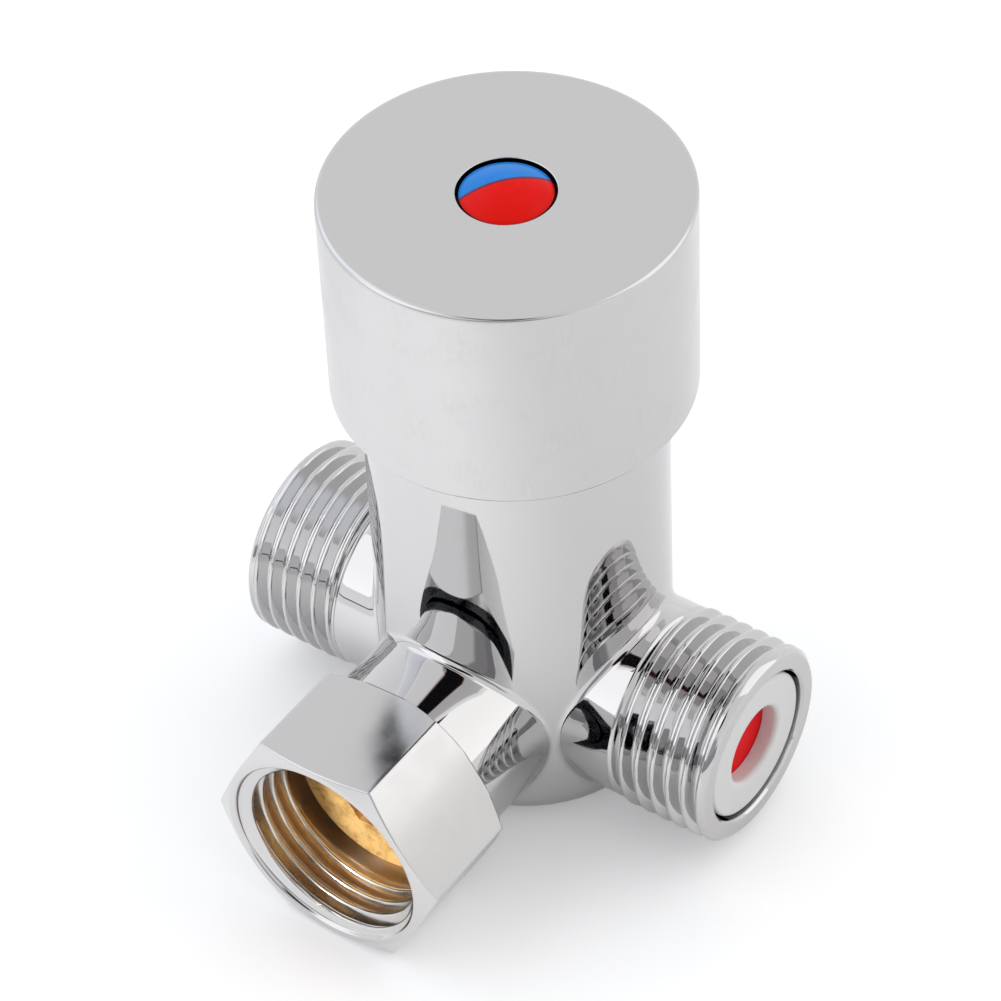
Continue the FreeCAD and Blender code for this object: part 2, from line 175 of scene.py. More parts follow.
def pieceOf(name, skins, material, sharpDeg=35):
    # skins share their rims, so merging by distance closes them to one shell
    weld, sliver = 2e-6, 1e-7
    shape = bmesh.new()
    for points, faces in skins:
        placed = points * mm + np.array([0, axisY * mm, 0])
        made = [shape.verts.new(p) for p in placed.tolist()]
        for face in faces:
            shape.faces.new([made[k] for k in face])
    bmesh.ops.remove_doubles(shape, verts=shape.verts[:], dist=weld)
    bmesh.ops.dissolve_degenerate(shape, edges=shape.edges[:], dist=sliver)
    bmesh.ops.recalc_face_normals(shape, faces=shape.faces[:])
    openEdges = sum(not edge.is_manifold for edge in shape.edges)
    data = bpy.data.meshes.new(name)
    shape.to_mesh(data)
    shape.free()
    print("piece", name, len(data.polygons), "faces,", openEdges, "open edges")
    return objectOf(data, material, sharpDeg)


# Materials that several pieces share; pattern sizes are in mm

# chrome plate: hard clear mirror, with the slow waves of a hand-polished casting
plate = dict(colour="#cac9c9", roughness=0.035, wave=5, waveDepth=0.03, waveStrength=0.25)
chromePlate, tree, shader = newMaterial("chromePlate", {
    "Base Color": toLinear(plate["colour"]), "Metallic": 1.0, "Roughness": plate["roughness"]})
coords = addNode(tree, coordKind).outputs["Object"]
wave = addNode(tree, noiseKind, {
    "Vector": coords, "Scale": 1 / (plate["wave"] * mm), "Detail": 1.0})
ripple = addNode(tree, bumpKind, {
    "Height": wave.outputs["Fac"], "Strength": plate["waveStrength"],
    "Distance": plate["waveDepth"] * mm})
setInputs(tree, shader, {"Normal": ripple.outputs["Normal"]})

# unplated brass, turned and left as cut: dull gold, blotched brown where it has tarnished
brass = dict(gold="#f2cf8a", brown="#b2823c", metallic=0.75, stain=1.6, stained=(0.4, 0.76),
             grain=0.8, grainDepth=0.01, grainStrength=0.1, roughness=(0.65, 0.85))
rawBrass, tree, shader = newMaterial("rawBrass", {"Metallic": brass["metallic"]})
coords = addNode(tree, coordKind).outputs["Object"]
stain = addNode(tree, noiseKind, {
    "Vector": coords, "Scale": 1 / (brass["stain"] * mm), "Detail": 6.0, "Roughness": 0.65})
tarnish = addNode(tree, rangeKind, {
    "Value": stain.outputs["Fac"], **span("From", brass["stained"])}, **smooth)
tint = addNode(tree, mixKind, {
    mixBy: tarnish.outputs["Result"], firstColour: toLinear(brass["gold"]),
    secondColour: toLinear(brass["brown"])}, **colourMix)
grain = addNode(tree, noiseKind, {
    "Vector": coords, "Scale": 1 / (brass["grain"] * mm), "Detail": 4.0})
rough = addNode(tree, rangeKind, {
    "Value": grain.outputs["Fac"], **span("From", mostNoise), **span("To", brass["roughness"])})
pits = addNode(tree, bumpKind, {
    "Height": grain.outputs["Fac"], "Strength": brass["grainStrength"],
    "Distance": brass["grainDepth"] * mm})
setInputs(tree, shader, {
    "Base Color": tint.outputs[mixedColour], "Roughness": rough.outputs["Result"],
    "Normal": pits.outputs["Normal"]})

# white acetal of the check valves: milky, with soft edges
whiteAcetal = newMaterial("whiteAcetal", {
    "Base Color": toLinear("#d4d4d4"), "Roughness": 0.35, "Subsurface Weight": 0.1,
    "Subsurface Radius": (0.6, 0.6, 0.6), "Subsurface Scale": 1 * mm})[0]

# stainless wire and screw: plain grey metal
stainless = newMaterial("stainless", {
    "Base Color": toLinear("#b9babb"), "Metallic": 1.0, "Roughness": 0.25})[0]

plainGloss = 0.1
plains = {
    "redAcetal": ("#de0410", 0.4),  # saturated moulded red
    "blueAcetal": ("#1f6fd0", 0.3),  # saturated moulded blue
    "greyAcetal": ("#8d9094", 0.45),  # dull moulded cartridge plastic
    "alumina": ("#f1efe8", 0.25),  # fired ceramic, smooth and off-white
    "blackRubber": ("#17181a", 0.6),  # matt sealing rubber
}
plain = {}
for name, (code, roughness) in plains.items():
    plain[name] = newMaterial(name, {
        "Base Color": toLinear(code), "Roughness": roughness, "Specular IOR Level": plainGloss})[0]
print("shared materials made")


# Rules drawn by geometry nodes: a screw thread and a coil spring

def newGroup(name, sockets):
    group = bpy.data.node_groups.new(name, "GeometryNodeTree")
    group.interface.new_socket("Geometry", in_out="OUTPUT", socket_type="NodeSocketGeometry")
    for label, kind in sockets.items():
        group.interface.new_socket(label, in_out="INPUT", socket_type=kind)
    return group, addNode(group, "NodeGroupInput").outputs


def closeGroup(group, geometry, material):
    # the last two nodes of every rule, and its output
    real = addNode(group, "GeometryNodeRealizeInstances", {"Geometry": geometry})
    dressed = addNode(group, "GeometryNodeSetMaterial", {
        "Geometry": real.outputs[0], "Material": material})
    addNode(group, "NodeGroupOutput", {"Geometry": dressed.outputs[0]})


def growSkin(group, values):
    # values go in by socket identifier before the first evaluation; out come plain points and faces
    holder = bpy.data.objects.new("holder", bpy.data.meshes.new("holder"))
    scene.collection.objects.link(holder)
    modifier = holder.modifiers.new("rule", "NODES")
    modifier.node_group = group
    for item in group.interface.items_tree:
        if item.in_out == "INPUT":
            modifier[item.identifier] = values[item.name]
    evaluated = holder.evaluated_get(bpy.context.evaluated_depsgraph_get())
    grown = bpy.data.meshes.new_from_object(evaluated)
    holder.modifiers.remove(modifier)
    bpy.data.objects.remove(holder)
    points = np.array([v.co for v in grown.vertices], float)
    faces = [list(p.vertices) for p in grown.polygons]
    bpy.data.meshes.remove(grown)
    return points, faces


number, whole = "NodeSocketFloat", "NodeSocketInt"
threadRule, size = newGroup("threadRule", {
    "columns": whole, "rows": whole, "start": number, "end": number, "pitch": number,
    "crest": number, "root": number, "phase": number, "startRadius": number, "endRadius": number,
    "startFade": number, "endFade": number})
flank = math.pi / 3  # of a quarter turn of pi / 2, so a third of each turn is left flat
threadWeld = 0.001
columns = addNode(threadRule, mathKind, {0: size["columns"], 1: 1.0})
rows = addNode(threadRule, mathKind, {0: size["rows"], 1: 1.0})
grid = addNode(threadRule, "GeometryNodeMeshGrid", {
    "Size X": 1.0, "Size Y": 1.0, "Vertices X": columns.outputs[0], "Vertices Y": rows.outputs[0]})
position = addNode(threadRule, "GeometryNodeInputPosition")
here = addNode(threadRule, splitKind, {0: position.outputs[0]})
turn = addNode(threadRule, mathKind, {0: here.outputs["X"], 1: 0.5})
angle = addNode(threadRule, mathKind, {0: turn.outputs[0], 1: fullTurn}, operation="MULTIPLY")
height = addNode(threadRule, rangeKind, {
    "Value": here.outputs["Y"], **span("From", (-0.5, 0.5)),
    **span("To", (size["start"], size["end"]))})
climbed = addNode(threadRule, mathKind, {
    0: height.outputs[0], 1: size["start"]}, operation="SUBTRACT")
turns = addNode(threadRule, mathKind, {0: climbed.outputs[0], 1: size["pitch"]}, operation="DIVIDE")
begun = addNode(threadRule, mathKind, {0: turns.outputs[0], 1: size["phase"]})
phase = addNode(threadRule, mathKind, {
    0: begun.outputs[0], 1: turn.outputs[0]}, operation="SUBTRACT")  # right-handed
wound = addNode(threadRule, mathKind, {0: phase.outputs[0], 1: fullTurn}, operation="MULTIPLY")
# a folded sine with its ends cut off: straight flanks, and flats on crest and root
sine = addNode(threadRule, mathKind, {0: wound.outputs[0]}, operation="SINE")
folded = addNode(threadRule, mathKind, {0: sine.outputs[0]}, operation="ARCSINE")
cut = addNode(threadRule, rangeKind, {
    "Value": folded.outputs[0], **span("From", (-flank, flank)),
    **span("To", (size["root"], size["crest"]))})
begin = addNode(threadRule, mathKind, {0: size["start"], 1: size["startFade"]})
finish = addNode(threadRule, mathKind, {0: size["end"], 1: size["endFade"]}, operation="SUBTRACT")
fadeIn = addNode(threadRule, rangeKind, {
    "Value": height.outputs[0], **span("From", (size["start"], begin.outputs[0])),
    **span("To", (size["startRadius"], cut.outputs[0]))}, **smooth)
radius = addNode(threadRule, rangeKind, {
    "Value": height.outputs[0], **span("From", (size["end"], finish.outputs[0])),
    **span("To", (size["endRadius"], fadeIn.outputs[0]))}, **smooth)
cosine = addNode(threadRule, mathKind, {0: angle.outputs[0]}, operation="COSINE")
upward = addNode(threadRule, mathKind, {0: angle.outputs[0]}, operation="SINE")
level = addNode(threadRule, joinKind, {"X": cosine.outputs[0], "Y": upward.outputs[0]})
spread = addNode(threadRule, vectorKind, {
    0: level.outputs[0], "Scale": radius.outputs[0]}, operation="SCALE")
raised = addNode(threadRule, joinKind, {"Z": height.outputs[0]})
place = addNode(threadRule, vectorKind, {0: spread.outputs[0], 1: raised.outputs[0]})
bent = addNode(threadRule, "GeometryNodeSetPosition", {
    "Geometry": grid.outputs["Mesh"], "Position": place.outputs[0]})
sewn = addNode(threadRule, "GeometryNodeMergeByDistance", {
    "Geometry": bent.outputs[0], "Distance": threadWeld})
closeGroup(threadRule, sewn.outputs[0], chromePlate)

springRule, size = newGroup("springRule", {
    "turns": number, "radius": number, "height": number, "wire": number})
stepsPerTurn, wireSides = 48, 12
coil = addNode(springRule, "GeometryNodeCurveSpiral", {
    "Resolution": stepsPerTurn, "Rotations": size["turns"], "Start Radius": size["radius"],
    "End Radius": size["radius"], "Height": size["height"]})
section = addNode(springRule, "GeometryNodeCurvePrimitiveCircle", {
    "Resolution": wireSides, "Radius": size["wire"]})
wire = addNode(springRule, "GeometryNodeCurveToMesh", {
    "Curve": coil.outputs[0], "Profile Curve": section.outputs["Curve"], "Fill Caps": True})
closeGroup(springRule, wire.outputs[0], stainless)
print("rules made")


# Valve body: barrel, three necks blended into it, two threaded ends

body = dict(radius=14.85, bottom=-11.0, top=41.0, rounding=3.0, edge=0.25, chamber=12.6,
            chamberFloor=9.4, neck=10.22, fillet=0.9, neckEnd=21.9, tailBore=7.95, tailEnd=15.4,
            outletWay=4.3, sharpDeg=75, columns=192, backColumns=48, blendRows=9, neckRows=9,
            highRows=25, lowRows=21, floorShares=(0.66, 0.33, 0))
inlet = dict(start=16.5, end=27.25, reach=27.8, pitch=1.814, crest=10.48, root=9.32, phase=0.78,
             startFade=1.2, endFade=0.9, rows=150, rim=10.4, chamfer=0.55, rimRound=0.2,
             socket=8.1, mouth=0.25, mouthRound=0.12, boreRound=0.1, socketEnd=16.8, way=4.4,
             wayEnd=7.0)

# a ball of the fillet's radius rolls round the seam, beside the barrel or its rounded bottom
psi = np.arange(body["columns"]) * fullTurn / body["columns"]  # from the top of a neck, to its left
ballR = body["neck"] + body["fillet"]
centreV, centreW = ballR * np.sin(psi), ballR * np.cos(psi)
below = np.minimum(centreW - body["bottom"] - body["rounding"], 0)
footBall = body["rounding"] + body["fillet"]
distance = body["radius"] - body["rounding"] + np.sqrt(footBall**2 - below**2)
normalW = below / footBall
centreU = np.sqrt(distance**2 - centreV**2)
centre = np.stack([centreU, centreV, centreW], axis=-1)
flat = np.sqrt(1 - normalW**2)
barrelNormal = np.stack([centreU / distance * flat, centreV / distance * flat, normalW], axis=-1)
neckNormal = np.stack([0 * psi, np.sin(psi), np.cos(psi)], axis=-1)
opening = np.arccos(np.clip((barrelNormal * neckNormal).sum(-1), -1, 1))[:, None]
blendRows = []
for t in np.linspace(0, 1, body["blendRows"]):
    toward = np.sin((1 - t) * opening) * barrelNormal + np.sin(t * opening) * neckNormal
    blendRows.append(centre - body["fillet"] * (toward / np.sin(opening)))
seam = blendRows[0]  # where the blend leaves the barrel


def neckOut(end):
    rows = list(blendRows)
    for t in np.linspace(0, 1, body["neckRows"])[1:]:
        u = centreU + (end - centreU) * t
        rows.append(np.stack([u, body["neck"] * np.sin(psi), body["neck"] * np.cos(psi)], axis=-1))
    points, faces = skinOf(np.array(rows))
    return points[:, [1, 2, 0]], faces  # back to height along local Z, as alongNeck expects


# columns of the barrel stand on the seams; the plain back has its own, at height zero in both bands
quarter = body["columns"] // 4
upper = np.arange(-quarter, quarter + 1)
lower = np.arange(3 * quarter, quarter - 1, -1)
highLine, lowLine = [], []
for degrees in (0, cold, outlet):
    turned = turnAbout(seam, degrees)
    highLine.append(turned[upper])
    lowLine.append(turned[lower])
    if degrees == 0:
        edge = math.atan2(seam[quarter, 1], seam[quarter, 0])
        backAngles = np.linspace(edge, math.pi - edge, body["backColumns"] + 2)[1:-1]
        plainBack = ringAt(backAngles, body["radius"], 0)
        highLine.append(plainBack)
        lowLine.append(plainBack)
highLine, lowLine = np.concatenate(highLine), np.concatenate(lowLine)

rise = np.array([0, 0, 1]) * (body["top"] - body["edge"] - highLine[:, 2:])
highRows = [highLine + rise * t for t in np.linspace(0, 1, body["highRows"])]
# down the barrel, round its foot and in to the middle, at even steps along each column
around = np.arctan2(lowLine[:, 1], lowLine[:, 0])
bendZ = body["bottom"] + body["rounding"]
bendR = body["radius"] - body["rounding"]
sunk = np.clip((np.hypot(lowLine[:, 0], lowLine[:, 1]) - bendR) / body["rounding"], 0, 1)
startTurn = np.where(lowLine[:, 2] < bendZ, np.arccos(sunk), 0)
straight = np.maximum(lowLine[:, 2] - bendZ, 0)
run = straight + body["rounding"] * (math.pi / 2 - startTurn)
lowRows = []
for t in np.linspace(0, 1, body["lowRows"]):
    gone = run * t
    turnDown = startTurn + np.maximum(gone - straight, 0) / body["rounding"]
    r = np.where(gone < straight, body["radius"], bendR + body["rounding"] * np.cos(turnDown))
    z = np.where(gone < straight, lowLine[:, 2] - gone, bendZ - body["rounding"] * np.sin(turnDown))
    lowRows.append(ringAt(around, r, z))
lowRows[0] = lowLine
lowRows += [lowRows[-1] * np.array([share, share, 1]) for share in body["floorShares"]]

topAround = np.arctan2(highLine[:, 1], highLine[:, 0])
topRows = [ringAt(topAround, r, z) for r, z in (
    (body["radius"], body["top"] - body["edge"]), (body["radius"] - body["edge"], body["top"]),
    (body["chamber"], body["top"]), (body["chamber"], body["chamberFloor"]),
    (0, body["chamberFloor"]))]

threadSkin = growSkin(threadRule, {
    **inlet, "columns": body["columns"], "startRadius": body["neck"], "endRadius": inlet["rim"]})
inletEnd = skinOf(turnedRows([
    (inlet["rim"], inlet["end"], 0),
    (inlet["rim"] - inlet["chamfer"], inlet["reach"], inlet["rimRound"]),
    (inlet["socket"] + inlet["mouth"], inlet["reach"], inlet["mouthRound"]),
    (inlet["socket"], inlet["reach"] - inlet["mouth"], inlet["boreRound"]),
    (inlet["socket"], inlet["socketEnd"], 0), (inlet["way"], inlet["socketEnd"], 0),
    (inlet["way"], inlet["wayEnd"], 0), (0, inlet["wayEnd"], 0)], body["columns"]))
outletEnd = skinOf(turnedRows([
    (body["neck"], body["neckEnd"], 0), (body["tailBore"], body["neckEnd"], 0),
    (body["tailBore"], body["tailEnd"], 0), (body["outletWay"], body["tailEnd"], 0),
    (body["outletWay"], inlet["wayEnd"], 0), (0, inlet["wayEnd"], 0)], body["columns"]))
skins = [skinOf(np.array(highRows)), skinOf(np.array(lowRows)), skinOf(np.array(topRows)),
         alongNeck(neckOut(body["neckEnd"]), outlet), alongNeck(outletEnd, outlet)]
for degrees in (0, cold):
    skins += [alongNeck(part, degrees) for part in (neckOut(inlet["start"]), threadSkin, inletEnd)]
bodyPiece = pieceOf("bodyPiece", skins, chromePlate, sharpDeg=body["sharpDeg"])
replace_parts(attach(bodyPiece, "body"), "valve_body")


# Swivel nut: chamfered hexagon outside, thread and relief inside

nut = dict(flats=22.9, turnDeg=3.4, corner=0.2, crown=0.16, back=22.2, front=34.7,
           frontCircle=11.3, frontSlope=0.4, backCircle=11.7, backSlope=0.6, wall=2.0, bore=7.98,
           boreEdge=0.2, relief=10.63, mouth=10.72, edge=0.2, columns=360, sharpDeg=75)
nutThread = dict(columns=nut["columns"], rows=84, start=26.8, end=34.5, pitch=inlet["pitch"],
                 crest=inlet["root"], root=inlet["crest"], phase=0.0, startRadius=nut["relief"],
                 endRadius=10.55, startFade=0.9, endFade=0.8)

# barrel-polished chrome of the nut: the same plate over a softer ground surface
# back is the dark colour painted on the flat back as painted shade
nutFinish = dict(bare="#d0b288", back="#43464a", wave=3, waveDepth=0.02, waveStrength=0.2,
                 roughness=(0.12, 0.2), bareRoughness=0.5, patch=2.5, patchEdge=(0.35, 0.65),
                 patchShare=(0.5, 1.3), bareFrom=-0.6, bareFull=2.6, bareRadius=(9.55, 10.25),
                 leastBare=0.15, insideR=10.9, insideY=9.2, backY=11.05)  # R from its axis, Y along it
nutChrome, tree, shader = newMaterial("nutChrome", {"Metallic": 1.0})
coords = addNode(tree, coordKind).outputs["Object"]
wave = addNode(tree, noiseKind, {
    "Vector": coords, "Scale": 1 / (nutFinish["wave"] * mm), "Detail": 3.0})
rough = addNode(tree, rangeKind, {
    "Value": wave.outputs["Fac"], **span("From", mostNoise), **span("To", nutFinish["roughness"])})
ripple = addNode(tree, bumpKind, {
    "Height": wave.outputs["Fac"], "Strength": nutFinish["waveStrength"],
    "Distance": nutFinish["waveDepth"] * mm})
# inside the nut the plate thins out and the brass shows brown and dull
split = addNode(tree, splitKind, {"Vector": coords})
patch = addNode(tree, noiseKind, {
    "Vector": coords, "Scale": 1 / (nutFinish["patch"] * mm), "Detail": 3.0})
across = addNode(tree, joinKind, {"X": split.outputs["X"], "Z": split.outputs["Z"]})
reach = addNode(tree, vectorKind, {0: across.outputs[0]}, operation="LENGTH").outputs["Value"]
inside = addNode(tree, mathKind, {0: reach, 1: nutFinish["insideR"] * mm}, operation="LESS_THAN")
inFront = addNode(tree, mathKind, {
    0: split.outputs["Y"], 1: nutFinish["insideY"] * mm}, operation="LESS_THAN")
depth = addNode(tree, rangeKind, {
    "Value": split.outputs["Y"], "From Min": nutFinish["bareFrom"] * mm,
    "From Max": nutFinish["bareFull"] * mm}, **smooth)
grow = addNode(tree, rangeKind, {
    "Value": patch.outputs["Fac"], **span("From", nutFinish["patchEdge"]),
    **span("To", nutFinish["patchShare"])})
worn = addNode(tree, mathKind, {
    0: depth.outputs["Result"], 1: grow.outputs["Result"]}, operation="MULTIPLY", use_clamp=True)
root = addNode(tree, rangeKind, {
    "Value": reach, "From Min": nutFinish["bareRadius"][0] * mm,
    "From Max": nutFinish["bareRadius"][1] * mm, **span("To", (nutFinish["leastBare"], 1.0))}, **smooth)
show = worn.outputs[0]
for share in (root.outputs["Result"], inside.outputs[0], inFront.outputs[0]):
    show = addNode(tree, mathKind, {0: show, 1: share}, operation="MULTIPLY").outputs[0]
tint = addNode(tree, mixKind, {
    mixBy: show, firstColour: toLinear(plate["colour"]),
    secondColour: toLinear(nutFinish["bare"])}, **colourMix)
dull = addNode(tree, mixKind, {
    mixBy: show, firstNumber: rough.outputs["Result"], secondNumber: nutFinish["bareRoughness"]})
# its flat back is painted dark: painted shade, so that its image in the barrel's mirror shows dark
atBack = addNode(tree, mathKind, {
    0: split.outputs["Y"], 1: nutFinish["backY"] * mm}, operation="GREATER_THAN")
paintedBackShade = addNode(tree, mixKind, {
    mixBy: atBack.outputs[0], firstColour: tint.outputs[mixedColour],
    secondColour: toLinear(nutFinish["back"])}, **colourMix)
setInputs(tree, shader, {
    "Base Color": paintedBackShade.outputs[mixedColour], "Roughness": dull.outputs[0],
    "Normal": ripple.outputs["Normal"]})

halfFlat = math.pi / 6  # a flat spans this angle to each side of its middle
fromFirst = np.arange(nut["columns"]) * fullTurn / nut["columns"]
phi = fromFirst + math.radians(nut["turnDeg"])
offset = np.abs(fromFirst % (2 * halfFlat) - halfFlat)  # from the middle of a flat
apothem = nut["flats"] / 2
inner = apothem - nut["corner"]
cornerAt = inner / math.cos(halfFlat)
lean = halfFlat - offset
inCorner = np.maximum(nut["corner"]**2 - (cornerAt * np.sin(lean))**2, 0)
onCorner = cornerAt * np.cos(lean) + np.sqrt(inCorner)
onFlat = apothem * np.tan(offset) <= inner * math.tan(halfFlat)
hexR = np.where(onFlat, apothem / np.cos(offset), onCorner)
hexR = hexR + nut["crown"] * (0.5 - (offset / halfFlat)**2)  # polishing crowns each flat a little
frontDrop = np.maximum(hexR - nut["frontCircle"], 0) * nut["frontSlope"]
backDrop = np.maximum(hexR - nut["backCircle"], 0) * nut["backSlope"]
one = np.ones(nut["columns"])
wallFace = nut["back"] + nut["wall"]
profile = [
    (nutThread["endRadius"] * one, nutThread["end"] * one, 0),
    (nut["mouth"] * one, nut["front"] * one, nut["edge"]),
    (np.minimum(hexR, nut["frontCircle"]), nut["front"] * one, nut["edge"]),
    (hexR, nut["front"] - frontDrop, nut["edge"]),
    (hexR, nut["back"] + backDrop, nut["edge"]),
    (np.minimum(hexR, nut["backCircle"]), nut["back"] * one, nut["edge"]),
    ((nut["bore"] + nut["boreEdge"]) * one, nut["back"] * one, 0),
    (nut["bore"] * one, (nut["back"] + nut["boreEdge"]) * one, 0),
    (nut["bore"] * one, wallFace * one, 0),
    (nut["relief"] * one, wallFace * one, 0),
    (nut["relief"] * one, nutThread["start"] * one, 0),
]
rows = roundCorners([np.stack([r, z], axis=-1) for r, z, _ in profile],
                    [rounding for _, _, rounding in profile])
nutRows = ringAt(phi, rows[:, :, 0], rows[:, :, 1])
points, faces = growSkin(threadRule, nutThread)
points = turnAbout(points, nut["turnDeg"])  # onto the hexagon's columns
nutSkins = [alongNeck(skinOf(nutRows), outlet), alongNeck((points, faces), outlet)]
nutPiece = pieceOf("nutPiece", nutSkins, nutChrome, sharpDeg=nut["sharpDeg"])
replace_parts(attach(nutPiece, "nut"), "swivel_nut")


# Knob: a turned cup with a hub inside and a hole for the cap

knob = dict(radius=17.67, bottom=36.4, top=59.0, edge=0.5, foot=0.2, skirt=15.4, roof=54.8,
            hole=4.72, rim=0.14, holeFloor=55.1, hub=6.8, hubBottom=44.6, socket=4.65,
            socketTop=53.6, screwHole=2.3, columns=256)

# satin chrome of the knob: soft broad reflections over fine turning marks, and a dark colour for
# painted shade in its recesses and underneath
satin = dict(colour="#cbcaca", paintedShade="#35373b", blotch=4, roughness=(0.16, 0.25), mark=0.3,
             markDepth=0.01, markStrength=0.12, streak=(0.35, 0.35, 3), streakLean=(0.3, 0.25, 0.0),
             streakEdge=(0.35, 0.65), streakShade=(0.972, 1.016), streakPatch=(0.46, 0.62),
             past=0.06)  # past: how far the plate runs over an edge
satinChrome, tree, shader = newMaterial("satinChrome", {"Metallic": 1.0})
coords = addNode(tree, coordKind).outputs["Object"]
blotch = addNode(tree, noiseKind, {
    "Vector": coords, "Scale": 1 / (satin["blotch"] * mm), "Detail": 5.0})
rough = addNode(tree, rangeKind, {
    "Value": blotch.outputs["Fac"], **span("From", mostNoise), **span("To", satin["roughness"])})
# marks run round the axis, so their pattern follows radius and height; drawn 0.3 mm apart to show
spun = addNode(tree, vectorKind, {0: coords, 1: (0, axisY * mm, 0)}, operation="SUBTRACT")
split = addNode(tree, splitKind, {"Vector": spun.outputs[0]})
across = addNode(tree, joinKind, {"X": split.outputs["X"], "Y": split.outputs["Y"]})
reach = addNode(tree, vectorKind, {0: across.outputs[0]}, operation="LENGTH").outputs["Value"]
track = addNode(tree, joinKind, {"X": reach, "Z": split.outputs["Z"]})
marks = addNode(tree, noiseKind, {
    "Vector": track.outputs[0], "Scale": 1 / (satin["mark"] * mm), "Detail": 2.0})
turning = addNode(tree, bumpKind, {
    "Height": marks.outputs["Fac"], "Strength": satin["markStrength"],
    "Distance": satin["markDepth"] * mm})
# only the outside keeps the plate's colour: the underside, the hollow and the cap's hole are painted
# dark, as painted shade in the recesses and under the knob
within = addNode(tree, mathKind, {
    0: reach, 1: (knob["skirt"] + satin["past"]) * mm}, operation="LESS_THAN")
lower = addNode(tree, mathKind, {
    0: split.outputs["Z"], 1: (knob["top"] - satin["past"]) * mm}, operation="LESS_THAN")
hollow = addNode(tree, mathKind, {0: within.outputs[0], 1: lower.outputs[0]}, operation="MULTIPLY")
under = addNode(tree, mathKind, {
    0: split.outputs["Z"], 1: (knob["bottom"] + satin["past"]) * mm}, operation="LESS_THAN")
paintedShade = addNode(tree, mathKind, {0: hollow.outputs[0], 1: under.outputs[0]}, operation="MAXIMUM")
tint = addNode(tree, mixKind, {
    mixBy: paintedShade.outputs[0], firstColour: toLinear(satin["colour"]),
    secondColour: toLinear(satin["paintedShade"])}, **colourMix)
# faint leaning streaks of the polishing wheel in patches on its side; drawn 0.35 mm wide to show
stretched = addNode(tree, "ShaderNodeMapping", {
    "Vector": coords, "Rotation": satin["streakLean"],
    "Scale": [width * mm for width in satin["streak"]]}, vector_type="TEXTURE")
streak = addNode(tree, noiseKind, {"Vector": stretched.outputs[0], "Scale": 1.0, "Detail": 2.0})
faint = addNode(tree, rangeKind, {
    "Value": streak.outputs["Fac"], **span("From", satin["streakEdge"]),
    **span("To", satin["streakShade"])})
patch = addNode(tree, rangeKind, {
    "Value": blotch.outputs["Fac"], **span("From", satin["streakPatch"])})
onSide = addNode(tree, mathKind, {
    0: reach, 1: (knob["radius"] - satin["past"]) * mm}, operation="GREATER_THAN")
where = addNode(tree, mathKind, {
    0: patch.outputs["Result"], 1: onSide.outputs[0]}, operation="MULTIPLY")
wheel = addNode(tree, mixKind, {
    mixBy: where.outputs[0], firstNumber: 1.0, secondNumber: faint.outputs["Result"]})
polished = addNode(tree, vectorKind, {
    0: tint.outputs[mixedColour], "Scale": wheel.outputs[0]}, operation="SCALE")
setInputs(tree, shader, {
    "Base Color": polished.outputs[0], "Roughness": rough.outputs["Result"],
    "Normal": turning.outputs["Normal"]})

knobRows = turnedRows([
    (knob["skirt"], knob["bottom"], 0), (knob["radius"], knob["bottom"], knob["foot"]),
    (knob["radius"], knob["top"], knob["edge"]), (knob["hole"], knob["top"], knob["rim"]),
    (knob["hole"], knob["holeFloor"], 0), (knob["screwHole"], knob["holeFloor"], 0),
    (knob["screwHole"], knob["socketTop"], 0), (knob["socket"], knob["socketTop"], 0),
    (knob["socket"], knob["hubBottom"], 0), (knob["hub"], knob["hubBottom"], 0),
    (knob["hub"], knob["roof"], 0), (knob["skirt"], knob["roof"], 0),
    (knob["skirt"], knob["bottom"], 0)], knob["columns"])
knobPiece = pieceOf("knobPiece", [skinOf(knobRows)], satinChrome)
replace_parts(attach(knobPiece, "knob"), "knob")


# Cap: a shallow dome on a skirt that fills the knob's hole

cap = dict(edge=4.42, edgeZ=58.7, dome=1.3, skirt=4.67, inner=3.9, under=57.4, floor=55.1,
           groove=0.8, domeRows=25, columns=128)

# two-colour cap: glossy plastic, blue behind a straight line over the dome and red in front of it
capFinish = dict(red="#e21008", between="#5c2b38", blue="#2380d8", splitDeg=49.9, splitFrom=0.12,
                 splitTo=0.68, ring=0.7, ringShade=(0.92, 1.04), paintedShadeBelow=0.02, roughness=0.22,
                 gloss=0.1)
capPlastic, tree, shader = newMaterial("capPlastic", {
    "Roughness": capFinish["roughness"], "Specular IOR Level": capFinish["gloss"]})
splitTurn = math.radians(capFinish["splitDeg"])
away = (-math.sin(splitTurn), math.cos(splitTurn), 0.0)
coords = addNode(tree, coordKind).outputs["Object"]
centred = addNode(tree, vectorKind, {0: coords, 1: (0, axisY * mm, 0)}, operation="SUBTRACT")
side = addNode(tree, vectorKind, {0: centred.outputs[0], 1: away}, operation="DOT_PRODUCT")
blend = addNode(tree, rangeKind, {
    "Value": side.outputs["Value"], "From Min": capFinish["splitFrom"] * mm,
    "From Max": capFinish["splitTo"] * mm})
colours = addNode(tree, "ShaderNodeValToRGB", {0: blend.outputs["Result"]})
colours.color_ramp.elements[0].color = toLinear(capFinish["red"])
colours.color_ramp.elements[1].color = toLinear(capFinish["blue"])
colours.color_ramp.elements.new(0.5).color = toLinear(capFinish["between"])
